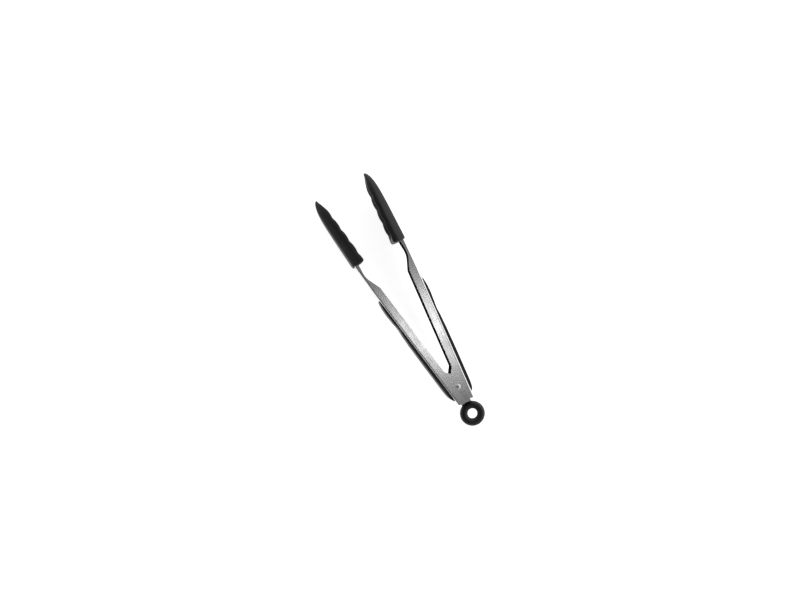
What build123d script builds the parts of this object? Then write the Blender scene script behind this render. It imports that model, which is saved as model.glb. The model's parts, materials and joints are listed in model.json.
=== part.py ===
from build123d import *
import os
from math import cos, radians, sin

# Spring loaded kitchen tongs, drawn in millimetres about the pivot: the arms lie flat with the
# tips towards +Y, the pull ring towards -Y and the pivot axis along Z. An arm is drawn once, for
# the right side, with x outwards from the line that joins its pivot and its tip and y along that
# line, and is then turned to its rest angle or mirrored to the left. The last step moves every
# piece so that the origin is the middle of the underside of the whole object.

# Motion
OPEN_ANGLE = 6.75  # each arm from the centre line, at rest against the opening stop
TAB_TRAVEL = 7.0  # how far the lock tab pulls out
GAP = 0.25  # between pieces that move past each other

# Arms, pressed from sheet steel: a channel with its back outwards and two ears at the pivot
SHEET = 0.9
LEFT_WIDTH = 25.0  # the left channel is the outer one at the pivot
RIGHT_WIDTH = LEFT_WIDTH - 2 * (SHEET + GAP)
BACK_X = 9.55  # outer face of the back
FLANGE_X = 2.1  # free edge of the flanges
TAIL_Y = -14.0
FLANGE_START_Y = 18.0
NECK_Y = 110.0  # where the back starts to lean in and the flanges start to narrow
NECK_LEAN = 0.022  # inward lean of the back along the neck, per millimetre
NECK_INNER_X = 5.0  # free edge of the flanges where they run into the head
BEND_Y = 136.0  # where the back bends again, into the head
TONGUE_LEAN = 0.05  # further lean past that bend, per millimetre
FLANGE_END_Y = 142.0
TONGUE_END_Y = 174.0
TONGUE_WIDTH = 15.0
BEND_RADIUS = 1.4
NOTCH = (-1.44, 12.2)  # bottom of the V between the arms, in the arm's own frame
EAR_X = -2.5  # far edge of an ear, past the pivot
BOSS_RADIUS = 4.4
STOP_CORNER = (-5.7, -12.0)  # corner of the inner ear that meets the other arm's back

# Pivot
RIVET_RADIUS = 2.0
RUNNING_FIT = 0.05
RIVET_HEAD_RADIUS = 2.5
RIVET_HEAD_HEIGHT = 1.1
WASHER_RADIUS = 4.0
WASHER_THICKNESS = 0.6
SPOOL_RADIUS = 3.3

# Torsion spring
WIRE_RADIUS = 0.55
COIL_RADIUS = 4.35
COIL_PITCH = 1.2
COIL_BOTTOM_Z = 3.9
COIL_TURNS = 2.5
LEG_ANGLE = 16.0  # each leg from the centre line
LEG_LENGTH = 22.0

# Lock tab
PLATE_THICKNESS = 1.2
PLATE_NECK_WIDTH = 9.5
PLATE_BODY_WIDTH = 13.2
PLATE_FRONT_Y = 12.0
PRONG_X = (7.65, 8.5)
HEAD_BAR_LENGTH = 1.9
HEAD_BAR_HEIGHT = 5.0
HEAD_BAR_SHEET = 0.72
HEAD_BAR_SHIFT = 0.1  # outwards from the middle of its prong
HEAD_BAR_TURN = 4.0
CATCH_Y = 18.5  # lock catch on each arm's back, in the arm's own frame
CATCH_LENGTH = 2.0
CATCH_X = (6.6, 7.2)
CATCH_HEIGHT = 5.2
CATCH_SLOT = 1.8
CATCH_SHEET = 0.8

# Pull ring
RING_Y = -28.3
RING_RADIUS = 7.7
RING_SECTION = 3.5
HANG_HOLE_RADIUS = 4.35  # a little wider than the round section leaves, so a straight land is cut
LOOP_RADII = (6.3, 9.2)  # flat steel loop inside the ring

# Soft grips on the backs
GRIP_ENDS_Y = (-9.5, 101.0)
GRIP_MARGIN = 0.1  # flat of the back left bare between a grip and the bend
GRIP_CORNER = 5.0
BASE_THICKNESS = 0.9
BASE_ENDS_Y = (-2.0, 94.0)
BASE_HALF_WIDTH = 7.2
STUDS_Y = (33.0, 62.0, 88.0)
STUD_RADIUS = 2.0
STUD_HEAD_RADIUS = 3.0
STUD_HEAD_HEIGHT = 1.1

# Heads: a stiff core with a soft cover all over it
HEAD_REAR_Y = 137.0
HEAD_TIP_Y = 205.0
HEAD_HALF_WIDTH = 15.5
HEAD_BACK_X = 10.5  # outer face of the back at the rear end
HEAD_SWEEP = 4.1  # how far the back comes in evenly by the tip
NOSE_DROP = 7.2  # how much further it turns in round the nose
LAST_VALLEY_RISE = 1.3  # the last scallop runs back towards the nose
SHOULDER_DEPTH = 6.8
SHOULDER_WIDTH = 4.7
LIP_WALL = 3.2
BACK_WALL = 5.6
COVER = 1.1
SCALLOP_PITCH = 12.5
SCALLOP_COUNT = 4
SCALLOP_DEPTH = 0.85
FIRST_VALLEY_Y = 146.0
VALLEY_X = -0.8
VALLEY_LEAN = 0.02  # the scalloped edge leans towards the other arm, per millimetre


def back_x(y):
    """Outer face of an arm's back at a distance from the pivot."""
    return BACK_X - NECK_LEAN * max(0.0, y - NECK_Y) - TONGUE_LEAN * max(0.0, y - BEND_Y)


def place(shape, side):
    """A piece drawn for the right arm, turned to its rest angle and mirrored for the left arm."""
    turned = shape.rotate(Axis.Z, -OPEN_ANGLE)
    return turned if side == "right" else turned.mirror(Plane.YZ)


def box(x, y, z):
    """A block between two limits on each axis."""
    size = (x[1] - x[0], y[1] - y[0], z[1] - z[0])
    middle = ((x[0] + x[1]) / 2, (y[0] + y[1]) / 2, (z[0] + z[1]) / 2)
    return Pos(*middle) * Box(*size)


def slab(outline, half_height):
    """A closed outline in the plane of the arms, made as thick as twice the half height."""
    return extrude(make_face(outline), amount=half_height, both=True)


def ear_edge(side):
    """Outline of an ear, from the bottom of the V round the pivot to the tail."""
    neck_y = (BOSS_RADIUS**2 - EAR_X**2) ** 0.5
    top = (EAR_X, neck_y)
    edge = Polyline(NOTCH, (EAR_X, NOTCH[1] - 1.9), top)
    if side == "left":
        bottom = (EAR_X, -neck_y)
        tail = Polyline(bottom, (EAR_X, STOP_CORNER[1] + 1.5), (-1.0, TAIL_Y + 0.8))
    else:
        bottom = (-BOSS_RADIUS, 0)
        tail = Polyline(bottom, (STOP_CORNER[0], -5.0), STOP_CORNER, (-4.3, TAIL_Y + 0.8))
    between = (-BOSS_RADIUS, 0) if side == "left" else (-BOSS_RADIUS * cos(0.5), BOSS_RADIUS * sin(0.5))
    boss = ThreePointArc(top, between, bottom)
    return edge + boss + tail, tail @ 1


def arm_profile(side):
    """The shape of an arm seen along the pivot: back, flanges and ear."""
    ear, ear_end = ear_edge(side)
    neck = Spline(
        (FLANGE_X, NECK_Y), (4.3, 116.4), (6.1, 121.8), (6.6, 126.5), (6.1, 131.0),
        (NECK_INNER_X, FLANGE_END_Y), tangents=[(0.35, 1), (0, 1)],
    )
    back = Polyline(
        (NECK_INNER_X, FLANGE_END_Y), (back_x(FLANGE_END_Y), FLANGE_END_Y), (back_x(BEND_Y), BEND_Y),
        (BACK_X, NECK_Y), (BACK_X, TAIL_Y + 1.6),
    )
    tail = ThreePointArc((BACK_X, TAIL_Y + 1.6), (BACK_X - 0.6, TAIL_Y + 0.3), (BACK_X - 2.0, TAIL_Y))
    rear = Line((BACK_X - 2.0, TAIL_Y), ear_end)
    front = Polyline((FLANGE_X, NECK_Y), (FLANGE_X, FLANGE_START_Y), NOTCH)
    return ear + front + neck + back + tail + rear


def bent_block(inset, half_height, bend_radius):
    """A long block under the arm's back, its two edges along the back rounded like bent sheet."""
    crest = [(back_x(y) - inset, y) for y in (-30, NECK_Y, BEND_Y, 160)]
    block = slab(Polyline((-30, -30), *crest, (-30, 160), (-30, -30)), half_height)

    def along_back(edge):
        middle = edge.center()
        level = abs(abs(middle.Z) - half_height) < 0.01
        return level and edge.length < 150 and middle.X > BACK_X - inset - 2

    return fillet([e for e in block.edges() if along_back(e)], bend_radius)


def lock_catch():
    """The slotted catch pressed in from the back, which the tab's bar slips behind."""
    height = (-CATCH_HEIGHT / 2, CATCH_HEIGHT / 2)
    root = box((CATCH_X[0], BACK_X - SHEET / 2), (CATCH_Y - CATCH_SHEET, CATCH_Y), height)
    leg = box(CATCH_X, (CATCH_Y, CATCH_Y + CATCH_LENGTH), height)
    slot = box((0, BACK_X - SHEET), (0, 2 * CATCH_Y), (-CATCH_SLOT / 2, CATCH_SLOT / 2))
    return root + leg - slot


def tongue():
    """The strap that carries on into the head, with holes that key the head's core."""
    half = TONGUE_WIDTH / 2
    start_y = FLANGE_END_Y - 1.0
    strap = Polyline(
        (back_x(start_y), start_y), (back_x(TONGUE_END_Y), TONGUE_END_Y),
        (back_x(TONGUE_END_Y) - SHEET, TONGUE_END_Y), (back_x(start_y) - SHEET, start_y),
        (back_x(start_y), start_y),
    )
    key_holes = [Pos(BACK_X, y, 0) * Rot(0, 90, 0) * Cylinder(2.2, 20) for y in (153.0, 166.0)]
    return slab(strap, half) - key_holes


def arm(side):
    """One arm: a pressed channel with ears, rivet holes, grip holes, lock catch and tongue."""
    half = (LEFT_WIDTH if side == "left" else RIGHT_WIDTH) / 2
    channel = bent_block(0, half, BEND_RADIUS) - bent_block(SHEET, half - SHEET, BEND_RADIUS - SHEET)
    body = channel & slab(arm_profile(side), half + 1)
    body -= Cylinder(RIVET_RADIUS + RUNNING_FIT, 60)
    for y in STUDS_Y:
        body -= Pos(BACK_X, y, 0) * Rot(0, 90, 0) * Cylinder(STUD_RADIUS, 4)
    return body + lock_catch() + tongue()


def grip_outline():
    """Side view of a grip: thick over the palm, a waist, then a swell before the front end."""
    rear, front = GRIP_ENDS_Y
    heights = [(-8.6, 1.3), (-4.5, 2.4), (2.0, 2.9), (28.0, 2.85), (52.0, 2.6), (62.0, 2.25),
               (70.5, 1.55), (77.0, 1.85), (84.0, 2.3), (91.0, 2.1), (96.5, 1.4), (100.0, 0.5)]
    swell = Spline([(BACK_X + height, y) for y, height in heights])
    crest = Line((BACK_X, rear), swell @ 0) + swell + Line(swell @ 1, (BACK_X, front))
    return crest + Line((BACK_X, front), (BACK_X, rear))


def grip_base():
    """The hard strip inside a grip, with studs that snap through the arm's back."""
    strip = box((BACK_X, BACK_X + BASE_THICKNESS), BASE_ENDS_Y, (-BASE_HALF_WIDTH, BASE_HALF_WIDTH))
    corners = strip.edges().filter_by(Axis.X)
    strip = fillet(corners, 3.0)
    inside = BACK_X - SHEET
    for y in STUDS_Y:
        at = Pos(0, y, 0) * Rot(0, 90, 0)
        strip += Pos(BACK_X - SHEET / 2, 0, 0) * at * Cylinder(STUD_RADIUS, SHEET)
        stud_head = Cylinder(STUD_HEAD_RADIUS, STUD_HEAD_HEIGHT)
        strip += Pos(inside - STUD_HEAD_HEIGHT / 2, 0, 0) * at * stud_head
    return strip


def grip_skin(base, side):
    """The soft grip over its hard strip, as wide as the flat of the arm's back."""
    half_width = (LEFT_WIDTH if side == "left" else RIGHT_WIDTH) / 2 - BEND_RADIUS - GRIP_MARGIN
    skin = slab(grip_outline(), half_width)
    rear, front = GRIP_ENDS_Y
    plan = Rot(0, 90, 0) * RectangleRounded(2 * half_width, front - rear, GRIP_CORNER)
    rounded = Pos(0, (rear + front) / 2, 0) * extrude(plan, amount=30, both=True)
    return (skin & rounded) - base


def head_half_width(y):
    """Half width of a head across its widest line, rounding to a blunt point at the tip."""
    along = max(0.0, y - 150.0) / (HEAD_TIP_Y + 0.6 - 150.0)
    return HEAD_HALF_WIDTH * (1 - min(1.0, along) ** 2.6) ** 0.62


def head_back_x(y):
    """Outer face of a head's back, which sweeps in ever faster towards the tip."""
    along = max(0.0, y - HEAD_REAR_Y) / (HEAD_TIP_Y + 0.25 - HEAD_REAR_Y)
    return HEAD_BACK_X - HEAD_SWEEP * along - NOSE_DROP * (1 - (1 - along**7) ** 0.5)


def scoop(inset):
    """The outer form of a head, drawn in by an inset, before its hollow and its scallops."""
    sections = []
    for y in (HEAD_REAR_Y, 150.0, 163.0, 175.0, 185.0, 192.0, 197.0, 200.5, 203.0, 204.4):
        chine_z = max(0.6, head_half_width(y) - inset)
        crown_x = head_back_x(y) - inset
        scale = head_half_width(y) / HEAD_HALF_WIDTH
        back_z = max(0.3, head_half_width(y) - SHOULDER_WIDTH * scale - inset * 0.45)
        chine_x = crown_x - SHOULDER_DEPTH * scale + inset * 0.35
        lip_z = chine_z - 0.35 * scale
        points = [
            (-7.0, -lip_z), (chine_x, -chine_z), (crown_x, -back_z),
            (crown_x, back_z), (chine_x, chine_z), (-7.0, lip_z),
        ]
        at_y = min(max(y, HEAD_REAR_Y + inset), HEAD_TIP_Y - inset)
        sections.append((at_y, points))
    kept = [s for i, s in enumerate(sections) if i == 0 or s[0] > sections[i - 1][0] + 0.2]
    wires = [
        Wire(Polyline([(x, y, z) for x, z in points], close=True).edges()) for y, points in kept
    ]
    return Solid.make_loft(wires, ruled=True)


def scallop_cutter(inset):
    """What lies past the scalloped edge, towards the other arm, and past the rounded rear corners."""
    rear = HEAD_REAR_Y + inset
    corner = (VALLEY_X + 1.9 + inset, rear)
    rear_lobe = (VALLEY_X - 0.6 + inset, rear + 2.6)
    at = (VALLEY_X + inset, FIRST_VALLEY_Y)
    edge = Curve() + ThreePointArc(corner, rear_lobe, at)
    for i in range(1, SCALLOP_COUNT + 1):
        end_x = VALLEY_X + inset - VALLEY_LEAN * SCALLOP_PITCH * i
        if i == SCALLOP_COUNT:
            end_x += LAST_VALLEY_RISE
        end = (end_x, FIRST_VALLEY_Y + SCALLOP_PITCH * i)
        crest = ((at[0] + end[0]) / 2 - SCALLOP_DEPTH, (at[1] + end[1]) / 2)
        edge += ThreePointArc(at, crest, end)
        at = end
    past_tip = HEAD_TIP_Y + 3
    outside = Polyline(
        at, (at[0] + 0.7, past_tip), (-20, past_tip), (-20, rear - 10), (corner[0], rear - 10), corner,
    )
    return slab(edge + outside, 30)


def scoop_hollow(inset):
    """The hollow of a head, grown by an inset into its walls."""
    sections = []
    front = HEAD_TIP_Y - 6.5 + inset
    for part in (0.0, 0.2, 0.4, 0.6, 0.75, 0.88, 0.96):
        rear = HEAD_REAR_Y + 6.0 - inset
        y = rear + (front - rear) * part
        round_end = (1 - part**3) ** 0.5
        round_rear = 1.0 if part > 0 else 0.8
        mouth_z = (head_half_width(y) - LIP_WALL + inset) * round_rear * (0.35 + 0.65 * round_end)
        floor_x = (head_back_x(y) - BACK_WALL + inset + 3.0) * round_end * round_rear - 3.0
        floor_z = max(0.4, mouth_z - 5.0 * round_end)
        points = [(-9.0, -mouth_z), (floor_x - 4.5 * round_end, -mouth_z), (floor_x, -floor_z),
                  (floor_x, floor_z), (floor_x - 4.5 * round_end, mouth_z), (-9.0, mouth_z)]
        sections.append(Wire(Polyline([(x, y, z) for x, z in points], close=True).edges()))
    return Solid.make_loft(sections, ruled=True)


def head_form(inset):
    """A head's solid form, drawn in all over by an inset."""
    return scoop(inset) - scoop_hollow(inset) - scallop_cutter(inset)


def head(side_arm):
    """A head's core and cover, both closed round the arm's strap."""
    core_form = head_form(COVER)
    cover = head_form(0) - core_form - side_arm
    core = core_form - side_arm
    return core, cover


def pivot_rivet():
    """Rivet through the ears, with a domed head at each end."""
    under_head = LEFT_WIDTH / 2 + RUNNING_FIT
    bottom = -under_head - WASHER_THICKNESS
    shank = Pos(0, 0, (under_head + bottom) / 2) * Cylinder(RIVET_RADIUS, under_head - bottom)
    sphere_radius = (RIVET_HEAD_RADIUS**2 + RIVET_HEAD_HEIGHT**2) / (2 * RIVET_HEAD_HEIGHT)
    dome = Pos(0, 0, RIVET_HEAD_HEIGHT - sphere_radius) * Sphere(sphere_radius)
    dome &= Pos(0, 0, RIVET_HEAD_HEIGHT) * Cylinder(RIVET_HEAD_RADIUS + 1, 2 * RIVET_HEAD_HEIGHT)
    return shank + Pos(0, 0, under_head) * dome + Pos(0, 0, bottom) * dome.rotate(Axis.X, 180)


def sleeve(outer, inner, z):
    """A plain round sleeve on the pivot between two heights."""
    middle = Pos(0, 0, (z[0] + z[1]) / 2)
    return middle * (Cylinder(outer, z[1] - z[0]) - Cylinder(inner, z[1] - z[0]))


def torsion_spring():
    """Round wire coiled on the spool, with a leg along the inside of each arm's back."""
    turn = COIL_TURNS * 360 - 2 * LEG_ANGLE
    height = COIL_PITCH * turn / 360
    coil = Helix(COIL_PITCH, height, COIL_RADIUS).rotate(Axis.Z, 180 + LEG_ANGLE)
    coil = Pos(0, 0, COIL_BOTTOM_Z) * coil
    slant_x, slant_y = LEG_LENGTH * sin(radians(LEG_ANGLE)), LEG_LENGTH * cos(radians(LEG_ANGLE))
    left_end = coil @ 0 + Vector(-slant_x, slant_y, 0)
    right_end = coil @ 1 + Vector(slant_x, slant_y, 0)
    legs = [Edge.make_line(left_end, coil @ 0), Edge.make_line(coil @ 1, right_end)]
    path = Wire([legs[0], *coil.edges(), legs[1]])
    section = Plane(origin=left_end, z_dir=path % 0) * Circle(WIRE_RADIUS)
    return sweep(section, path=path, is_frenet=True)


def lock_plate():
    """Flat tab between the ears: a loop for the ring, a slot for the rivet, and two side prongs."""
    half = PLATE_THICKNESS / 2
    neck_x, body_x = PLATE_NECK_WIDTH / 2, PLATE_BODY_WIDTH / 2
    bar_front = CATCH_Y + 0.1 + TAB_TRAVEL + HEAD_BAR_LENGTH
    inner_x, outer_x = PRONG_X
    right = [
        (0, RING_Y), (neck_x, RING_Y), (neck_x, -7.5), (body_x, -5.5), (body_x, 4.0), (outer_x, 7.5),
        (outer_x, bar_front), (inner_x, bar_front), (inner_x, PLATE_FRONT_Y + 1.0),
        (body_x - 1.2, PLATE_FRONT_Y), (0, PLATE_FRONT_Y), (0, RING_Y),
    ]
    plate = slab(Polyline(right), half)
    plate += plate.mirror(Plane.YZ)
    plate += Pos(0, RING_Y, 0) * Cylinder(LOOP_RADII[1], PLATE_THICKNESS)
    plate -= Pos(0, RING_Y, 0) * Cylinder(LOOP_RADII[0], PLATE_THICKNESS)
    slot = SlotCenterToCenter(TAB_TRAVEL, 2 * (RIVET_RADIUS + RUNNING_FIT), rotation=90)
    plate -= Pos(0, TAB_TRAVEL / 2, 0) * extrude(slot, amount=5, both=True)
    for x in (PRONG_X, (-PRONG_X[1], -PRONG_X[0])):
        side = 1 if x[0] > 0 else -1
        middle = (x[0] + x[1]) / 2 + side * HEAD_BAR_SHIFT
        bar = Rot(0, 0, -side * HEAD_BAR_TURN) * Box(HEAD_BAR_SHEET, HEAD_BAR_LENGTH, HEAD_BAR_HEIGHT)
        plate += Pos(middle, bar_front - HEAD_BAR_LENGTH / 2, 0) * bar
    return plate


def pull_ring(plate):
    """Soft round ring moulded over the tab's loop; its hole has a short straight land to hang by."""
    ring = Torus(RING_RADIUS, RING_SECTION) - Cylinder(HANG_HOLE_RADIUS, 10)
    return Pos(0, RING_Y, 0) * ring - plate


def pieces():
    """Every node, by name, about the pivot."""
    made = {}
    for side in ("left", "right"):
        steel = arm(side)
        core, cover = head(steel)
        base = grip_base()
        own = {"arm": steel, "head_core": core, "head_cover": cover,
               "grip_base": base, "grip_skin": grip_skin(base, side)}
        for name, shape in own.items():
            made[f"{side}_{name}"] = place(shape, side)
    made["pivot_rivet"] = pivot_rivet()
    under_ear = -LEFT_WIDTH / 2 - RUNNING_FIT
    made["rivet_washer"] = sleeve(WASHER_RADIUS, RIVET_RADIUS, (under_ear - WASHER_THICKNESS, under_ear))
    clear = PLATE_THICKNESS / 2 + GAP
    ear = RIGHT_WIDTH / 2 - SHEET - GAP
    made["spring_spool"] = sleeve(SPOOL_RADIUS, RIVET_RADIUS, (clear, ear))
    made["lower_spacer"] = sleeve(SPOOL_RADIUS, RIVET_RADIUS, (-ear, -clear))
    made["torsion_spring"] = torsion_spring()
    made["lock_plate"] = lock_plate()
    made["pull_ring"] = pull_ring(made["lock_plate"])
    return made


def main():
    os.makedirs("parts", exist_ok=True)
    made = pieces()
    heads = [made["left_head_cover"].bounding_box(), made["right_head_cover"].bounding_box()]
    front = max(b.max.Y for b in heads)
    rear = RING_Y - RING_RADIUS - RING_SECTION
    pivot_y = -(rear + front) / 2
    pivot_z = HEAD_HALF_WIDTH
    shift = Pos(0, pivot_y, pivot_z)
    for name, shape in made.items():
        export_step(shift * shape, f"parts/{name}.step")
    print("pivot y", round(pivot_y, 3), "z", pivot_z, "hanging hole y", round(pivot_y + RING_Y, 3))


main()
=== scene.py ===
import json
import math

import bmesh
import bpy
from bpy.props import FloatProperty, FloatVectorProperty, IntProperty, PointerProperty
from mathutils import Matrix, Vector


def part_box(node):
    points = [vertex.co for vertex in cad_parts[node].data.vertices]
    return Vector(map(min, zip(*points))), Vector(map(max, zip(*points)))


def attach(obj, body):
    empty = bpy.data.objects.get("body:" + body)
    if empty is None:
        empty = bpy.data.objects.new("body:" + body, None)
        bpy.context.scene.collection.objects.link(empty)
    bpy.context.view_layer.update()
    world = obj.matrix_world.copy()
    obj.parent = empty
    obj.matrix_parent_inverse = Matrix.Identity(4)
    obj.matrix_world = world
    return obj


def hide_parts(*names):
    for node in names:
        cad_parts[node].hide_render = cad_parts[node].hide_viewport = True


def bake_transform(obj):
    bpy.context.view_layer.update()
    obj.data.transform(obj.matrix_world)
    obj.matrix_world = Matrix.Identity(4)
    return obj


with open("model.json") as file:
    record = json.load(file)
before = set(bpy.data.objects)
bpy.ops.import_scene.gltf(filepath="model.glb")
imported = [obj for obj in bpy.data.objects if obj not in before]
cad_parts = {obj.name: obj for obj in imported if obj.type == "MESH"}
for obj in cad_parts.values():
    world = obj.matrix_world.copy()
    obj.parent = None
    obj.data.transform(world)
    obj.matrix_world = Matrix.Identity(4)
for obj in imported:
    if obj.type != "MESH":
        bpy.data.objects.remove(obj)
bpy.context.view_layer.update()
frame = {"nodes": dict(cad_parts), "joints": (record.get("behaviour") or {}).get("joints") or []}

bl_info = {
    "name": "Kitchen tongs dresser",
    "version": (1, 0, 0),
    "blender": (4, 5, 0),
    "location": "3D View > Sidebar > Tongs",
    "description": "Models the soft parts and the finishes of a pair of spring loaded kitchen tongs",
    "category": "Object",
}

MM = 0.001
JOINT_AT = {joint["name"]: joint.get("pos_m") for joint in frame["joints"]}
PIVOT = Vector(JOINT_AT["left_arm_close"])
SIDES = {"right": 1, "left": -1}


# ---------------------------------------------------------------------------------- settings


class HeadSettings(bpy.types.PropertyGroup):
    rear: FloatProperty(name="Rear", description="Rear end of a head from the pivot", default=137 * MM,
                        subtype="DISTANCE", unit="LENGTH")
    tip: FloatProperty(name="Tip", description="Tip of a head from the pivot", default=204.38 * MM,
                       subtype="DISTANCE", unit="LENGTH")
    half_width: FloatProperty(name="Half width", description="Half the width across a head",
                              default=15.5 * MM, subtype="DISTANCE", unit="LENGTH")
    pitch: FloatProperty(name="Scallop pitch", description="Length of one scallop of the lip",
                         default=12.5 * MM, subtype="DISTANCE", unit="LENGTH")
    depth: FloatProperty(name="Scallop depth", description="How far a scallop stands out",
                         default=0.84 * MM, subtype="DISTANCE", unit="LENGTH")
    colour: FloatVectorProperty(name="Silicone", description="Colour of the heads", subtype="COLOR",
                                default=(0.013, 0.013, 0.014), min=0, max=1)


class GripSettings(bpy.types.PropertyGroup):
    corner: FloatProperty(name="Corner", description="Radius of a grip's corners",
                          default=5 * MM, subtype="DISTANCE", unit="LENGTH")
    colour: FloatVectorProperty(name="Grip", description="Colour of the grips", subtype="COLOR",
                                default=(0.03, 0.03, 0.031), min=0, max=1)


class RingSettings(bpy.types.PropertyGroup):
    radius: FloatProperty(name="Radius", description="Middle of the ring's section from its centre",
                          default=7.7 * MM, subtype="DISTANCE", unit="LENGTH")
    section: FloatProperty(name="Section", description="Radius of the ring's round section",
                           default=3.48 * MM, subtype="DISTANCE", unit="LENGTH")
    colour: FloatVectorProperty(name="Ring", description="Colour of the ring", subtype="COLOR",
                                default=(0.014, 0.016, 0.016), min=0, max=1)


class SpringSettings(bpy.types.PropertyGroup):
    wire: FloatProperty(name="Wire", description="Radius of the spring wire", default=0.55 * MM,
                        subtype="DISTANCE", unit="LENGTH")
    steps: IntProperty(name="Steps", description="Points in one turn of the coil", default=40, min=12)


class SteelSettings(bpy.types.PropertyGroup):
    colour: FloatVectorProperty(name="Steel", description="Colour of the pressed steel",
                                subtype="COLOR", default=(0.74, 0.74, 0.735), min=0, max=1)
    # Inside is painted shade: the dark grey laid on the sheet inside the channels, where the shade
    # falls.
    inside: FloatVectorProperty(name="Inside", description="Colour of the sheet inside the channels",
                                subtype="COLOR", default=(0.13, 0.13, 0.13), min=0, max=1)
    roughness: FloatProperty(name="Roughness", description="How dull the brushed steel is",
                             default=0.205, min=0, max=1)


class StageSettings(bpy.types.PropertyGroup):
    floor: FloatVectorProperty(name="Floor", description="Colour of the floor", subtype="COLOR",
                               default=(0.93, 0.93, 0.93), min=0, max=1)
    panel: FloatProperty(name="Overhead panel", description="Power of the overhead panel in watts",
                         default=0.21, min=0)
    window: FloatProperty(name="Side window", description="Power of the side window in watts",
                          default=1.5, min=0)
    lens: FloatProperty(name="Lens", description="Focal length of the camera in millimetres",
                        default=51.1, min=10)


class TongsSettings(bpy.types.PropertyGroup):
    heads: PointerProperty(type=HeadSettings)
    grips: PointerProperty(type=GripSettings)
    ring: PointerProperty(type=RingSettings)
    spring: PointerProperty(type=SpringSettings)
    steel: PointerProperty(type=SteelSettings)
    stage: PointerProperty(type=StageSettings)


# ---------------------------------------------------------------------------------- geometry

OPEN_ANGLE = math.radians(6.75)
BACK = 9.55 * MM
SHEET = 0.9 * MM
NECK = 110 * MM
BEND = 136 * MM
NECK_LEAN = 0.022
TONGUE_LEAN = 0.05


def arm_matrix(side):
    """From an arm's own frame, x outwards and y along it, to the row frame at rest."""
    to_pivot = Matrix.Translation(PIVOT)
    turn = Matrix.Rotation(-OPEN_ANGLE, 4, "Z")
    if side == "right":
        return to_pivot @ turn
    return to_pivot @ Matrix.Scale(-1, 4, (1, 0, 0)) @ turn


def clear_selection():
    """Leaves edit mode and deselects every object."""
    if bpy.context.object and bpy.context.object.mode != "OBJECT":
        bpy.ops.object.mode_set(mode="OBJECT")
    bpy.ops.object.select_all(action="DESELECT")


def loft(name, rings):
    """Extrudes a primitive ring through a row of rings of points and closes both ends."""
    clear_selection()
    count = len(rings[0])
    bpy.ops.mesh.primitive_circle_add(vertices=count, radius=0.01, fill_type="NOTHING")
    piece = bpy.context.object
    piece.name = name
    bpy.ops.object.mode_set(mode="EDIT")
    edited = bmesh.from_edit_mesh(piece.data)
    for vertex, point in zip(list(edited.verts), rings[0]):
        vertex.co = point
    bmesh.update_edit_mesh(piece.data)
    for before, after in zip(rings, rings[1:]):
        bpy.ops.mesh.extrude_region()
        edited = bmesh.from_edit_mesh(piece.data)
        place_of = {tuple(round(c, 7) for c in Vector(p)): i for i, p in enumerate(before)}
        for vertex in [v for v in edited.verts if v.select]:
            vertex.co = after[place_of[tuple(round(c, 7) for c in vertex.co)]]
        bmesh.update_edit_mesh(piece.data)
    bpy.ops.mesh.edge_face_add()
    bpy.ops.mesh.select_all(action="DESELECT")
    edited = bmesh.from_edit_mesh(piece.data)
    edited.verts.ensure_lookup_table()
    for vertex in edited.verts[:count]:
        vertex.select = True
    edited.select_flush(True)
    bmesh.update_edit_mesh(piece.data)
    bpy.ops.mesh.edge_face_add()
    bpy.ops.mesh.select_all(action="SELECT")
    bpy.ops.mesh.normals_make_consistent(inside=False)
    bpy.ops.object.mode_set(mode="OBJECT")
    return piece


def finish_mesh(piece, levels):
    """Subdivides a piece for good and shades it smooth."""
    clear_selection()
    piece.select_set(True)
    bpy.context.view_layer.objects.active = piece
    if levels:
        smooth = piece.modifiers.new("smooth", "SUBSURF")
        smooth.levels = smooth.render_levels = levels
        bpy.ops.object.modifier_apply(modifier=smooth.name)
    bpy.ops.object.shade_smooth()


def put_on_arm(piece, side, name):
    """A copy of a piece drawn in the arm's own frame, put on one arm with its faces outwards."""
    copy = piece.copy()
    copy.data = piece.data.copy()
    copy.name = name
    copy.data.name = name
    bpy.context.collection.objects.link(copy)
    copy.data.transform(arm_matrix(side))
    if side == "left":
        copy.data.flip_normals()
    return copy


def delete(piece):
    """Removes a pattern piece that the copies were made from."""
    mesh = piece.data
    bpy.data.objects.remove(piece)
    bpy.data.meshes.remove(mesh)


def smooth_step(low, high, value):
    """0 below low, 1 above high, with an even turn between."""
    t = min(1.0, max(0.0, (value - low) / (high - low)))
    return t * t * (3 - 2 * t)


# ------------------------------------------------------------------------------------- heads

# In millimetres, along an arm from the pivot and outwards from its line.
HEAD_REAR, HEAD_LENGTH = 137.0, 68.25
HEAD_BACK, HEAD_SWEEP, NOSE_DROP = 10.5, 4.1, 7.2
TAPER_START, TAPER_LENGTH = 150.0, 55.6
SHOULDER_DEPTH, SHOULDER_WIDTH = 6.8, 4.7
LIP_WALL, BACK_WALL, SIDE_SLOPE = 3.2, 5.6, 4.2
FIRST_VALLEY, LAST_VALLEY, NOSE = 146.0, 196.0, 203.0
HOLLOW_REAR, HOLLOW_FRONT = (141.6, 145.6), (188.0, 199.5)
LIP_LINE, LIP_LEAN = -0.76, 0.02
LAST_RISE, NOSE_RISE = 0.25, 1.5


def head_back(y):
    """Outer face of a head's back, in millimetres, sweeping in ever faster towards the tip."""
    along = min(1.0, max(0.0, y - HEAD_REAR) / HEAD_LENGTH)
    return HEAD_BACK - HEAD_SWEEP * along - NOSE_DROP * (1 - math.sqrt(1 - along**7))


def head_width(y, widest):
    """Half width of a head, rounding to a blunt point at the tip."""
    along = min(1.0, max(0.0, y - TAPER_START) / TAPER_LENGTH)
    return widest * (1 - along**2.6) ** 0.62


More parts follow.
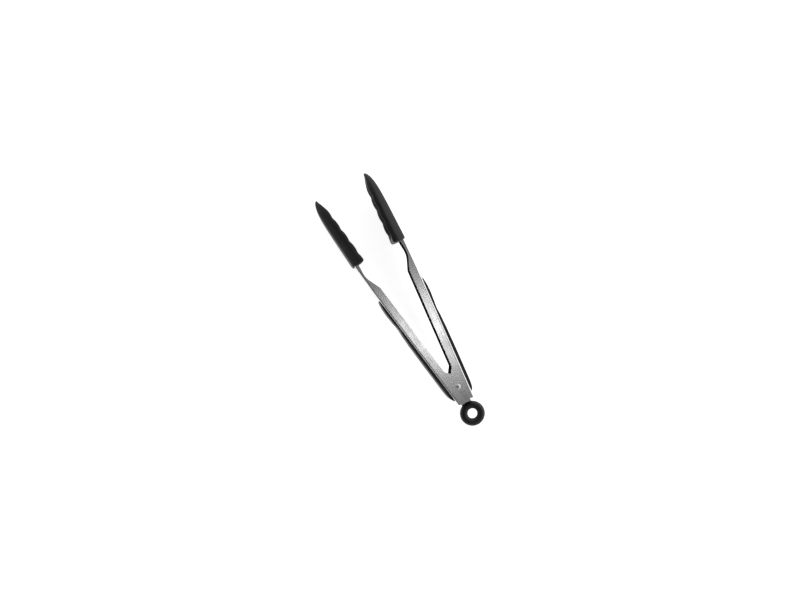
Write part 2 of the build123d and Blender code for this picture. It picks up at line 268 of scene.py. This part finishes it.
def lip_edge(y, pitch, depth):
    """The scalloped edge of a lip: rounded lobes with a sharp valley between each two."""
    line = LIP_LINE - LIP_LEAN * (y - FIRST_VALLEY)
    if y > LAST_VALLEY:
        return line + LAST_RISE + NOSE_RISE * smooth_step(LAST_VALLEY, NOSE, y)
    lobe = ((y - FIRST_VALLEY) / pitch) % 1.0
    rise = LAST_RISE * smooth_step(LAST_VALLEY - pitch, LAST_VALLEY, y)
    return line + rise - depth * (1 - (2 * lobe - 1) ** 2)


def head_ring(y, inset, settings):
    """One ring round a head's section: over the back from lip to lip, then through the hollow."""
    width = head_width(y, settings.half_width / MM)
    scale = width / (settings.half_width / MM)
    back, lip = head_back(y), lip_edge(y, settings.pitch / MM, settings.depth / MM)
    chine = back - SHOULDER_DEPTH * scale
    lip = min(lip, back - 0.8)
    chine = max(chine, lip + 0.3)
    lip_z = width - 0.35 * scale
    back_z = width - SHOULDER_WIDTH * scale
    open_up = smooth_step(*HOLLOW_REAR, y) * (1 - smooth_step(*HOLLOW_FRONT, y))
    mouth_z = max(0.3, lip_z - LIP_WALL * (0.75 + 0.25 * scale)) * (0.55 + 0.45 * open_up)
    floor = lip + 0.15 + open_up * (back - BACK_WALL - lip)
    wall = lip + 0.15 + open_up * max(0.0, back - BACK_WALL - SIDE_SLOPE - lip)
    floor_z = max(0.15, mouth_z - 4.4 * open_up)
    over = [
        (lip + 0.05, lip_z - 0.9 * scale), (lip + 0.55 * scale, lip_z - 0.1 * scale),
        (lip + 1.3 * scale, lip_z), ((lip + chine) / 2, (lip_z + width) / 2 + 0.05 * scale),
        (chine - 0.45 * scale, width), (chine + 0.5 * scale, width - 0.3 * scale),
        ((chine + back) / 2, (width + back_z) / 2 + 0.25 * scale),
        (back - 0.8 * scale, back_z + 0.75 * scale), (back - 0.2 * scale, back_z - 0.5 * scale),
        (back - 0.07 * scale, back_z * 0.5),
    ]
    under = [
        (lip + 0.02, (lip_z + mouth_z) / 2), (lip + 0.12, mouth_z + 0.55 * scale),
        (lip + 0.12 + 0.6 * open_up, mouth_z + 0.08), ((lip + wall) / 2, mouth_z - 0.15),
        (wall, mouth_z - 0.4 * open_up), ((wall + floor) / 2, (mouth_z + floor_z) / 2 + 0.2 * open_up),
        (floor, floor_z), (floor + 0.1 * open_up, floor_z * 0.5),
    ]
    flipped = [(x, -z) for x, z in reversed(over)]
    inside = [(x, -z) for x, z in under]
    outline = over + [(back - 0.04 * scale, 0.0)] + flipped
    outline += inside + [(floor + 0.12 * open_up, 0.0)] + [(x, -z) for x, z in reversed(inside)]
    centre = (back + lip) / 2
    shrink_x = 1 - inset / max(0.6, (back - lip) / 2)
    shrink_z = 1 - inset / max(0.6, width)
    return [
        (MM * (centre + (x - centre) * shrink_x), MM * y, MM * z * shrink_z) for x, z in outline
    ]


def head_stations(settings):
    """Places of the rings along a head, closer at its rounded ends."""
    rear, tip = settings.rear / MM, settings.tip / MM
    rings = [(rear, 2.0), (rear + 0.25, 1.0), (rear + 0.9, 0.3), (rear + 1.9, 0.0)]
    step = settings.pitch / MM / 10
    y = FIRST_VALLEY - 5 * step
    while y < LAST_VALLEY + 0.1:
        rings.append((y, 0.0))
        y += step
    for part in (0.2, 0.4, 0.58, 0.72, 0.83, 0.91, 0.965, 0.99):
        rings.append((LAST_VALLEY + (tip - LAST_VALLEY) * part, 0.0))
    rings.append((tip - 0.02, 0.35))
    return rings


class TONGS_OT_heads(bpy.types.Operator):
    """Models the two soft heads: a scoop with scalloped lips, square shoulders and a blunt tip"""

    bl_idname = "tongs.heads"
    bl_label = "Heads"

    def execute(self, context):
        settings = context.scene.tongs.heads
        rings = [head_ring(y, inset, settings) for y, inset in head_stations(settings)]
        pattern = loft("head_pattern", rings)
        finish_mesh(pattern, 1)
        finish = soft_finish("head_silicone", settings.colour, 0.55, 420.0, 0.05)
        for side in SIDES:
            head = put_on_arm(pattern, side, f"{side}_silicone_head")
            head.data.materials.append(finish)
            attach(head, f"{side}_arm")
            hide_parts(f"{side}_head_cover")
        delete(pattern)
        return {"FINISHED"}


# ------------------------------------------------------------------------------------- grips

# Distance along the arm and height over its back, in millimetres.
GRIP_HEIGHTS = [(-9.4, 0.35), (-8.0, 1.4), (-5.0, 2.4), (-1.0, 2.8), (6.0, 2.9), (28.0, 2.85),
                (50.0, 2.6), (61.0, 2.25), (71.0, 1.55), (79.0, 2.0), (86.0, 2.3), (92.0, 2.1),
                (97.0, 1.45), (99.8, 0.9), (100.9, 0.3)]
# Half of a grip's section: parts of its half width and of its height.
GRIP_CROWN = [(0.0, 1.0), (0.35, 1.0), (0.62, 0.998), (0.84, 0.992), (0.95, 0.972), (0.988, 0.92),
              (1.0, 0.8), (1.0, 0.12)]
GRIP_BASE = BACK + 0.03 * MM


def grip_height(y):
    """Height of a grip's crest over the arm's back, in millimetres, eased between its marks."""
    for (y0, h0), (y1, h1) in zip(GRIP_HEIGHTS, GRIP_HEIGHTS[1:]):
        if y <= y1:
            return h0 + (h1 - h0) * smooth_step(y0, y1, y)
    return GRIP_HEIGHTS[-1][1]


def grip_ring(y, half_width, corner):
    """One ring round a grip's section: flat below, upright sides and a crowned top."""
    height = grip_height(y)
    rear, front = GRIP_HEIGHTS[0][0], GRIP_HEIGHTS[-1][0]
    from_end = min(y - rear, front - y)
    pull_in = corner - math.sqrt(max(0.0, corner**2 - max(0.0, corner - from_end) ** 2))
    width = max(1.2, half_width - pull_in)
    half = [(BACK + MM * height * rise, MM * y, width * MM * across) for across, rise in GRIP_CROWN]
    base = [(GRIP_BASE, MM * y, width * MM * across) for across in (0.985, 0.6)]
    one = half + base
    other = [(x, py, -z) for x, py, z in reversed(one[1:])]
    return one + [(GRIP_BASE, MM * y, 0.0)] + other


class TONGS_OT_grips(bpy.types.Operator):
    """Models the soft grip on each arm's back, with its waist and its swell"""

    bl_idname = "tongs.grips"
    bl_label = "Grips"

    def execute(self, context):
        settings = context.scene.tongs.grips
        rear, front = GRIP_HEIGHTS[0][0], GRIP_HEIGHTS[-1][0]
        ends = (0.0, 0.15, 0.5, 1.0, 1.8, 3.0)
        middle = [rear + 4.5 + (front - rear - 9.0) * i / 60 for i in range(61)]
        stations = [rear + e for e in ends] + middle + [front - e for e in reversed(ends)]
        finish = soft_finish("grip_rubber", settings.colour, 0.5, 700.0, 0.06)
        for side in SIDES:
            low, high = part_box(f"{side}_grip_skin")
            half_width = (high[2] - low[2]) / 2 / MM
            rings = [grip_ring(y, half_width, settings.corner / MM) for y in stations]
            pattern = loft("grip_pattern", rings)
            finish_mesh(pattern, 1)
            grip = put_on_arm(pattern, side, f"{side}_soft_grip")
            delete(pattern)
            grip.data.materials.append(finish)
            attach(grip, f"{side}_arm")
            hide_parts(f"{side}_grip_skin")
        return {"FINISHED"}


# -------------------------------------------------------------------------------------- ring

HANG_HOLE = 4.4 * MM
SEAM_WIDTH = 0.12 * MM
SEAM_REACH = 0.004 * MM
SEAM_DEPTH = 0.9965

class TONGS_OT_ring(bpy.types.Operator):
    """Models the soft pull ring with its moulding seam and the land it hangs by"""

    bl_idname = "tongs.ring"
    bl_label = "Pull ring"

    def execute(self, context):
        settings = context.scene.tongs.ring
        low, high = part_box("pull_ring")
        centre = (Vector(low) + Vector(high)) / 2
        clear_selection()
        bpy.ops.mesh.primitive_torus_add(
            major_radius=settings.radius, minor_radius=settings.section,
            major_segments=112, minor_segments=40, location=centre,
        )
        ring = bpy.context.object
        ring.name = "soft_pull_ring"
        bpy.ops.object.transform_apply(location=True, rotation=True, scale=True)
        bpy.ops.object.mode_set(mode="EDIT")
        bpy.ops.mesh.select_all(action="DESELECT")
        edited = bmesh.from_edit_mesh(ring.data)
        outer = settings.radius + settings.section
        for vertex in edited.verts:
            flat = Vector((vertex.co.x - centre.x, vertex.co.y - centre.y))
            vertex.select = flat.length > outer - SEAM_REACH
        edited.select_flush(True)
        bmesh.update_edit_mesh(ring.data)
        bpy.ops.mesh.bevel(offset=SEAM_WIDTH, segments=2, affect="EDGES")
        bpy.ops.transform.resize(value=(SEAM_DEPTH, SEAM_DEPTH, 1), center_override=centre)
        bpy.ops.mesh.select_all(action="DESELECT")
        bpy.ops.object.mode_set(mode="OBJECT")
        for vertex in ring.data.vertices:
            flat = Vector((vertex.co.x - centre.x, vertex.co.y - centre.y))
            if flat.length < HANG_HOLE:
                flat *= HANG_HOLE / flat.length
                vertex.co.x, vertex.co.y = centre.x + flat.x, centre.y + flat.y
        finish_mesh(ring, 0)
        ring.data.materials.append(soft_finish("ring_rubber", settings.colour, 0.42, 600.0, 0.035))
        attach(ring, "lock_tab")
        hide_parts("pull_ring")
        return {"FINISHED"}


# ------------------------------------------------------------------------------------ spring

COIL_RADIUS = 4.35 * MM
COIL_TURNS = 2.5
LEG_SLANT = math.radians(16.0)
LEG_LENGTH = 22.0 * MM
LEG_STEPS = 24
COIL_PITCH = 1.2 * MM


def spring_path(settings):
    """Points down the wire's middle, from the left leg's end round the coil to the right leg's end."""
    low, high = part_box("torsion_spring")
    turn = COIL_TURNS * 2 * math.pi - 2 * LEG_SLANT
    bottom = low[2] + settings.wire
    count = int(settings.steps * COIL_TURNS)
    coil = []
    for i in range(count + 1):
        angle = math.pi + LEG_SLANT + turn * i / count
        x = PIVOT.x + COIL_RADIUS * math.cos(angle)
        y = PIVOT.y + COIL_RADIUS * math.sin(angle)
        z = bottom + COIL_PITCH * turn / (2 * math.pi) * i / count
        coil.append(Vector((x, y, z)))
    left = Vector((-math.sin(LEG_SLANT), math.cos(LEG_SLANT), 0))
    right = Vector((-left.x, left.y, 0))
    before = [coil[0] + left * LEG_LENGTH * (LEG_STEPS - i) / LEG_STEPS for i in range(LEG_STEPS)]
    after = [coil[-1] + right * LEG_LENGTH * (i + 1) / LEG_STEPS for i in range(LEG_STEPS)]
    return before + coil + after


class TONGS_OT_spring(bpy.types.Operator):
    """Models the torsion spring as two halves of one wire, a left half and a right half"""

    bl_idname = "tongs.spring"
    bl_label = "Torsion spring"

    def execute(self, context):
        settings = context.scene.tongs.spring
        path = spring_path(settings)
        middle = len(path) // 2
        finish = steel_finish("spring_wire", (0.42, 0.42, 0.42), 0.3, 0.0, 900.0)
        halves = {"left": path[: middle + 1], "right": path[middle:]}
        for side, points in halves.items():
            curve = bpy.data.curves.new(f"{side}_spring_half", "CURVE")
            curve.dimensions = "3D"
            curve.bevel_depth = settings.wire
            curve.bevel_resolution = 4
            curve.use_fill_caps = True
            line = curve.splines.new("POLY")
            line.points.add(len(points) - 1)
            for place, point in zip(line.points, points):
                place.co = (*point, 1)
            wire = bpy.data.objects.new(f"{side}_spring_half", curve)
            bpy.context.collection.objects.link(wire)
            clear_selection()
            wire.select_set(True)
            bpy.context.view_layer.objects.active = wire
            bpy.ops.object.convert(target="MESH")
            wire = bpy.context.object
            finish_mesh(wire, 0)
            wire.data.materials.append(finish)
            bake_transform(wire)
            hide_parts("torsion_spring")
        return {"FINISHED"}


# --------------------------------------------------------------------------------- materials


def new_group(name, inputs, outputs):
    """An empty shader node group with named sockets."""
    group = bpy.data.node_groups.new(name, "ShaderNodeTree")
    for label, kind, value in inputs:
        socket = group.interface.new_socket(label, in_out="INPUT", socket_type=kind)
        socket.default_value = value
    for label, kind in outputs:
        group.interface.new_socket(label, in_out="OUTPUT", socket_type=kind)
    return group


def math_node(tree, operation, first, second):
    """A Math node joined to two sockets or values."""
    node = tree.nodes.new("ShaderNodeMath")
    node.operation = operation
    for socket, value in zip(node.inputs, (first, second)):
        if isinstance(value, (int, float)):
            socket.default_value = value
        else:
            tree.links.new(value, socket)
    return node.outputs[0]


def map_range(tree, value, low, high, to_low, to_high):
    """A Map Range node that takes one span of values to another."""
    node = tree.nodes.new("ShaderNodeMapRange")
    for label, number in zip(("From Min", "From Max", "To Min", "To Max"), (low, high, to_low, to_high)):
        node.inputs[label].default_value = number
    tree.links.new(value, node.inputs["Value"])
    return node


def fine_skin_group():
    """Fine moulded skin with cloudy patches and faint rubbed places, for rubber and plastic."""
    if "Fine skin" in bpy.data.node_groups:
        return bpy.data.node_groups["Fine skin"]
    group = new_group(
        "Fine skin",
        [("Vector", "NodeSocketVector", (0, 0, 0)), ("Colour", "NodeSocketColor", (0.02, 0.02, 0.02, 1)),
         ("Roughness", "NodeSocketFloat", 0.5), ("Grain scale", "NodeSocketFloat", 500.0)],
        [("Colour", "NodeSocketColor"), ("Roughness", "NodeSocketFloat"), ("Height", "NodeSocketFloat")],
    )
    nodes, links = group.nodes, group.links
    given, result = nodes.new("NodeGroupInput"), nodes.new("NodeGroupOutput")
    grain, cloud, dust = (nodes.new("ShaderNodeTexNoise") for _ in range(3))
    for texture in (grain, cloud, dust):
        links.new(given.outputs["Vector"], texture.inputs["Vector"])
    links.new(given.outputs["Grain scale"], grain.inputs["Scale"])
    grain.inputs["Detail"].default_value = 3.0
    cloud.inputs["Scale"].default_value = 55.0
    cloud.inputs["Detail"].default_value = 5.0
    dust.inputs["Scale"].default_value = 240.0
    dust.inputs["Detail"].default_value = 6.0
    pale = nodes.new("ShaderNodeMix")
    pale.data_type = "RGBA"
    pale.blend_type = "MULTIPLY"
    pale.inputs["Factor"].default_value = 1.0
    ramp = map_range(group, cloud.outputs["Fac"], 0.35, 0.68, 0.82, 1.28)
    links.new(given.outputs["Colour"], pale.inputs["A"])
    links.new(ramp.outputs["Result"], pale.inputs["B"])
    specks = math_node(group, "GREATER_THAN", dust.outputs["Fac"], 0.66)
    lift = nodes.new("ShaderNodeMix")
    lift.data_type = "RGBA"
    lift.inputs["B"].default_value = (0.09, 0.09, 0.09, 1)
    links.new(math_node(group, "MULTIPLY", specks, 0.12), lift.inputs["Factor"])
    links.new(pale.outputs["Result"], lift.inputs["A"])
    links.new(lift.outputs["Result"], result.inputs["Colour"])
    spread = math_node(group, "MULTIPLY", math_node(group, "SUBTRACT", cloud.outputs["Fac"], 0.5), 0.35)
    links.new(math_node(group, "ADD", given.outputs["Roughness"], spread), result.inputs["Roughness"])
    links.new(grain.outputs["Fac"], result.inputs["Height"])
    return group


def brushed_group():
    """Grain drawn along one direction, with soft patches of polish, for rolled and brushed steel."""
    if "Brushed grain" in bpy.data.node_groups:
        return bpy.data.node_groups["Brushed grain"]
    group = new_group(
        "Brushed grain",
        [("Vector", "NodeSocketVector", (0, 0, 0)), ("Colour", "NodeSocketColor", (0.7, 0.7, 0.7, 1)),
         ("Roughness", "NodeSocketFloat", 0.3), ("Grain scale", "NodeSocketFloat", 900.0)],
        [("Colour", "NodeSocketColor"), ("Roughness", "NodeSocketFloat"), ("Height", "NodeSocketFloat")],
    )
    nodes, links = group.nodes, group.links
    given, result = nodes.new("NodeGroupInput"), nodes.new("NodeGroupOutput")
    stretch = nodes.new("ShaderNodeVectorMath")
    stretch.operation = "MULTIPLY"
    stretch.inputs[1].default_value = (1.0, 0.035, 1.0)
    links.new(given.outputs["Vector"], stretch.inputs[0])
    line = nodes.new("ShaderNodeTexNoise")
    line.inputs["Detail"].default_value = 4.0
    links.new(stretch.outputs["Vector"], line.inputs["Vector"])
    links.new(given.outputs["Grain scale"], line.inputs["Scale"])
    cloud, speck = nodes.new("ShaderNodeTexNoise"), nodes.new("ShaderNodeTexNoise")
    links.new(given.outputs["Vector"], cloud.inputs["Vector"])
    links.new(given.outputs["Vector"], speck.inputs["Vector"])
    cloud.inputs["Scale"].default_value = 60.0
    cloud.inputs["Detail"].default_value = 4.0
    speck.inputs["Scale"].default_value = 650.0
    speck.inputs["Detail"].default_value = 2.0
    both = math_node(group, "ADD", math_node(group, "MULTIPLY", line.outputs["Fac"], 0.75),
                     math_node(group, "MULTIPLY", speck.outputs["Fac"], 0.25))
    shade = map_range(group, both, 0.35, 0.65, 0.93, 1.04)
    tint = nodes.new("ShaderNodeMix")
    tint.data_type = "RGBA"
    tint.blend_type = "MULTIPLY"
    tint.inputs["Factor"].default_value = 1.0
    links.new(given.outputs["Colour"], tint.inputs["A"])
    links.new(shade.outputs["Result"], tint.inputs["B"])
    links.new(tint.outputs["Result"], result.inputs["Colour"])
    waver = math_node(group, "MULTIPLY", math_node(group, "SUBTRACT", cloud.outputs["Fac"], 0.5), 0.1)
    lines = math_node(group, "MULTIPLY", math_node(group, "SUBTRACT", both, 0.5), 0.16)
    rough = math_node(group, "ADD", given.outputs["Roughness"], math_node(group, "ADD", waver, lines))
    links.new(rough, result.inputs["Roughness"])
    links.new(both, result.inputs["Height"])
    return group


def surface(name, group, colour, roughness, scale, bump, turn, metallic):
    """A material that takes its colour, roughness and grain from one of the shared groups."""
    material = bpy.data.materials.new(name)
    material.use_nodes = True
    tree = material.node_tree
    shader = tree.nodes["Principled BSDF"]
    shader.inputs["Metallic"].default_value = metallic
    place = tree.nodes.new("ShaderNodeTexCoord")
    mapping = tree.nodes.new("ShaderNodeMapping")
    mapping.inputs["Rotation"].default_value = (0, 0, turn)
    tree.links.new(place.outputs["Object"], mapping.inputs["Vector"])
    look = tree.nodes.new("ShaderNodeGroup")
    look.node_tree = group
    tree.links.new(mapping.outputs["Vector"], look.inputs["Vector"])
    look.inputs["Colour"].default_value = (*colour, 1)
    look.inputs["Roughness"].default_value = roughness
    look.inputs["Grain scale"].default_value = scale
    tree.links.new(look.outputs["Colour"], shader.inputs["Base Color"])
    tree.links.new(look.outputs["Roughness"], shader.inputs["Roughness"])
    relief = tree.nodes.new("ShaderNodeBump")
    relief.inputs["Strength"].default_value = bump
    relief.inputs["Distance"].default_value = 0.1 * MM
    tree.links.new(look.outputs["Height"], relief.inputs["Height"])
    tree.links.new(relief.outputs["Normal"], shader.inputs["Normal"])
    return material


def soft_finish(name, colour, roughness, scale, bump):
    """Soft black silicone or rubber."""
    material = surface(name, fine_skin_group(), colour, roughness, scale, bump * 10, 0.0, 0.0)
    shader = material.node_tree.nodes["Principled BSDF"]
    shader.inputs["IOR"].default_value = 1.42
    shader.inputs["Sheen Weight"].default_value = 0.08
    shader.inputs["Sheen Roughness"].default_value = 0.4
    return material


def painted_shade_mask_group():
    """1 inside a pressed channel and 0 outside it, from a place in the arm's own frame: where the arms'
    painted shade goes.
    """
    if "Inside the channel" in bpy.data.node_groups:
        return bpy.data.node_groups["Inside the channel"]
    group = new_group(
        "Inside the channel",
        [("Vector", "NodeSocketVector", (0, 0, 0)), ("Half width", "NodeSocketFloat", 0.012)],
        [("Mask", "NodeSocketFloat")],
    )
    given, result = group.nodes.new("NodeGroupInput"), group.nodes.new("NodeGroupOutput")
    parts = group.nodes.new("ShaderNodeSeparateXYZ")
    group.links.new(given.outputs["Vector"], parts.inputs["Vector"])
    height = math_node(group, "ABSOLUTE", parts.outputs["Z"], 0.0)
    inner = math_node(group, "SUBTRACT", given.outputs["Half width"], SHEET / 2)
    under = math_node(group, "LESS_THAN", height, inner)
    back = BACK - SHEET / 2
    for start, lean in ((NECK, NECK_LEAN), (BEND, TONGUE_LEAN)):
        past = math_node(group, "MAXIMUM", math_node(group, "SUBTRACT", parts.outputs["Y"], start), 0.0)
        back = math_node(group, "SUBTRACT", back, math_node(group, "MULTIPLY", past, lean))
    before = math_node(group, "LESS_THAN", math_node(group, "ABSOLUTE", parts.outputs["X"], 0.0), back)
    group.links.new(math_node(group, "MULTIPLY", under, before), result.inputs["Mask"])
    return group


def arm_finish(side, colour, inside, roughness, half_width):
    """Brushed steel outside, with painted shade inside the channel: there the sheet is darkened to stand
    in for the channel's shade, and made rougher.
    """
    turn = SIDES[side] * OPEN_ANGLE
    material = steel_finish(f"{side}_arm_steel", colour, roughness, turn, 1300.0)
    tree = material.node_tree
    shader = tree.nodes["Principled BSDF"]
    place = tree.nodes["Texture Coordinate"]
    own = tree.nodes.new("ShaderNodeMapping")
    own.vector_type = "TEXTURE"
    own.inputs["Location"].default_value = PIVOT
    own.inputs["Rotation"].default_value = (0, 0, -turn)
    tree.links.new(place.outputs["Object"], own.inputs["Vector"])
    painted_shade_mask = tree.nodes.new("ShaderNodeGroup")
    painted_shade_mask.node_tree = painted_shade_mask_group()
    painted_shade_mask.inputs["Half width"].default_value = half_width
    tree.links.new(own.outputs["Vector"], painted_shade_mask.inputs["Vector"])
    # Painted shade: inside the channel the steel colour is mixed to the dark Inside colour, standing in
    # for the shade there.
    tint = tree.nodes.new("ShaderNodeMix")
    tint.data_type = "RGBA"
    tint.inputs["B"].default_value = (*inside, 1)
    tree.links.new(painted_shade_mask.outputs["Mask"], tint.inputs["Factor"])
    tree.links.new(shader.inputs["Base Color"].links[0].from_socket, tint.inputs["A"])
    tree.links.new(tint.outputs["Result"], shader.inputs["Base Color"])
    dull = math_node(tree, "MULTIPLY", painted_shade_mask.outputs["Mask"], 0.2)
    rough = math_node(tree, "ADD", shader.inputs["Roughness"].links[0].from_socket, dull)
    tree.links.new(rough, shader.inputs["Roughness"])
    return material


def steel_finish(name, colour, roughness, turn, scale):
    """Brushed steel with its grain turned to lie along the piece."""
    return surface(name, brushed_group(), colour, roughness, scale, 0.025, turn, 1.0)


def dress(node, material):
    """Gives a CAD node a new finish."""
    target = frame["nodes"][node]
    target.data.materials.clear()
    target.data.materials.append(material)


class TONGS_OT_steel(bpy.types.Operator):
    """Gives the pressed arms, the lock tab and the rivet their steel finishes"""

    bl_idname = "tongs.steel"
    bl_label = "Steel finishes"

    def execute(self, context):
        settings = context.scene.tongs.steel
        colour, roughness = settings.colour, settings.roughness
        for side in SIDES:
            low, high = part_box(f"{side}_arm")
            half_width = (high[2] - low[2]) / 2
            dress(f"{side}_arm", arm_finish(side, colour, settings.inside, roughness, half_width))
        dress("lock_plate", steel_finish("tab_steel", colour, roughness + 0.06, 0.0, 1300.0))
        bright = steel_finish("rivet_steel", (0.62, 0.62, 0.62), 0.42, 0.0, 500.0)
        dress("pivot_rivet", bright)
        dress("rivet_washer", bright)
        return {"FINISHED"}


class TONGS_OT_mouldings(bpy.types.Operator):
    """Gives the hidden plastic mouldings their finishes"""

    bl_idname = "tongs.mouldings"
    bl_label = "Moulded parts"

    def execute(self, context):
        plastic = soft_finish("moulded_nylon", (0.018, 0.018, 0.019), 0.45, 350.0, 0.03)
        for node in ("spring_spool", "lower_spacer"):
            dress(node, plastic)
        insert = soft_finish("insert_nylon", (0.025, 0.025, 0.026), 0.5, 300.0, 0.03)
        for side in SIDES:
            dress(f"{side}_grip_base", insert)
            dress(f"{side}_head_core", insert)
        return {"FINISHED"}


# ------------------------------------------------------------------------------------- stage


def area_light(name, place, target, size, power):
    """A soft rectangular light aimed at a point."""
    light = bpy.data.lights.new(name, "AREA")
    light.shape = "RECTANGLE"
    light.size, light.size_y = size
    light.energy = power
    lamp = bpy.data.objects.new(name, light)
    bpy.context.collection.objects.link(lamp)
    lamp.location = place
    lamp.rotation_euler = (Vector(target) - Vector(place)).to_track_quat("-Z", "Y").to_euler()
    return lamp


def soft_studio(world):
    """Pale walls, a darker ceiling, and the right hand wall brighter than the left."""
    world.use_nodes = True
    tree = world.node_tree
    place = tree.nodes.new("ShaderNodeTexCoord")
    parts = tree.nodes.new("ShaderNodeSeparateXYZ")
    tree.links.new(place.outputs["Generated"], parts.inputs["Vector"])
    ceiling = map_range(tree, parts.outputs["Z"], 0.5, 0.85, 1.0, 0.085)
    ceiling.interpolation_type = "SMOOTHSTEP"
    wall = map_range(tree, parts.outputs["X"], -0.8, 0.8, 0.35, 1.3)
    glow = math_node(tree, "MULTIPLY", ceiling.outputs["Result"], wall.outputs["Result"])
    tree.links.new(glow, tree.nodes["Background"].inputs["Strength"])
    tree.nodes["Background"].inputs["Color"].default_value = (1.0, 1.0, 1.0, 1)


def floor_finish(colour):
    """Plain pale floor with the faintest mottle."""
    material = bpy.data.materials.new("pale_floor")
    material.use_nodes = True
    tree = material.node_tree
    shader = tree.nodes["Principled BSDF"]
    mottle = tree.nodes.new("ShaderNodeTexNoise")
    mottle.inputs["Scale"].default_value = 6.0
    mix = tree.nodes.new("ShaderNodeMix")
    mix.data_type = "RGBA"
    mix.inputs["A"].default_value = (*colour, 1)
    mix.inputs["B"].default_value = (*[c * 0.985 for c in colour], 1)
    tree.links.new(mottle.outputs["Fac"], mix.inputs["Factor"])
    tree.links.new(mix.outputs["Result"], shader.inputs["Base Color"])
    shader.inputs["Roughness"].default_value = 0.9
    tree.links.new(mix.outputs["Result"], shader.inputs["Emission Color"])
    shader.inputs["Emission Strength"].default_value = 0.9
    return material


# Places from the pivot. The camera is turned about its own line of sight by the lean.
AIM = Vector((-5.34, 90.94, 10.0)) * MM
EYE = Vector((-80.7, 114.0, 1000.0)) * MM
HOT_SPOT = Vector((5.0, 56.0, 10.0)) * MM
CAMERA_LEAN = math.radians(30.4)


class TONGS_OT_stage(bpy.types.Operator):
    """Lays the floor, hangs the lights and sets the camera above the open tongs"""

    bl_idname = "tongs.stage"
    bl_label = "Stage"

    def execute(self, context):
        settings = context.scene.tongs.stage
        clear_selection()
        bpy.ops.mesh.primitive_plane_add(size=6.0, location=(0, 0, -0.2 * MM))
        floor = bpy.context.object
        floor.name = "floor"
        floor.data.materials.append(floor_finish(settings.floor))
        middle, eye, hot_spot = PIVOT + AIM, PIVOT + EYE, PIVOT + HOT_SPOT
        camera = bpy.data.objects.new("camera", bpy.data.cameras.new("camera"))
        context.collection.objects.link(camera)
        camera.data.lens = settings.lens
        camera.data.sensor_width = 36.0
        back = (eye - middle).normalized()
        across = Vector((math.cos(CAMERA_LEAN), -math.sin(CAMERA_LEAN), 0)).normalized()
        up = back.cross(across).normalized()
        across = up.cross(back).normalized()
        turn = Matrix((across, up, back)).transposed().to_4x4()
        camera.matrix_world = Matrix.Translation(eye) @ turn
        camera.data.clip_start, camera.data.clip_end = 0.01, 20.0
        context.scene.camera = camera
        mirrored = (hot_spot - eye) * Vector((1, 1, -1))
        overhead = hot_spot + mirrored * 1.5
        area_light("overhead panel", overhead, hot_spot, (0.12, 0.12), settings.panel)
        side = middle + across * 1.1 + up * 0.5 + Vector((0, 0, 0.75))
        area_light("side window", side, middle, (0.7, 0.7), settings.window)
        world = bpy.data.worlds.new("soft studio")
        soft_studio(world)
        context.scene.world = world
        context.scene.view_settings.view_transform = "Standard"
        return {"FINISHED"}


class TONGS_PT_panel(bpy.types.Panel):
    """Lists the pieces of the tongs in the 3D view's sidebar"""

    bl_idname = "TONGS_PT_panel"
    bl_label = "Kitchen tongs"
    bl_space_type = "VIEW_3D"
    bl_region_type = "UI"
    bl_category = "Tongs"

    def draw(self, context):
        for operator in OPERATORS:
            self.layout.operator(operator.bl_idname)
        for group in ("heads", "grips", "ring", "spring", "steel", "stage"):
            box = self.layout.box()
            box.label(text=group.capitalize())
            settings = getattr(context.scene.tongs, group)
            for name in settings.bl_rna.properties.keys():
                if name not in ("rna_type", "name"):
                    box.prop(settings, name)


OPERATORS = (TONGS_OT_steel, TONGS_OT_mouldings, TONGS_OT_heads, TONGS_OT_grips, TONGS_OT_ring,
             TONGS_OT_spring, TONGS_OT_stage)
GROUPS = (HeadSettings, GripSettings, RingSettings, SpringSettings, SteelSettings, StageSettings,
          TongsSettings)


def register():
    for cls in GROUPS + OPERATORS + (TONGS_PT_panel,):
        bpy.utils.register_class(cls)
    bpy.types.Scene.tongs = PointerProperty(type=TongsSettings)


def unregister():
    del bpy.types.Scene.tongs
    for cls in reversed(GROUPS + OPERATORS + (TONGS_PT_panel,)):
        bpy.utils.unregister_class(cls)


def main():
    """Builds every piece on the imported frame, in order."""
    register()
    bpy.ops.tongs.steel()
    bpy.ops.tongs.mouldings()
    bpy.ops.tongs.heads()
    bpy.ops.tongs.grips()
    bpy.ops.tongs.ring()
    bpy.ops.tongs.spring()
    bpy.ops.tongs.stage()


if __name__ == "__main__":
    main()
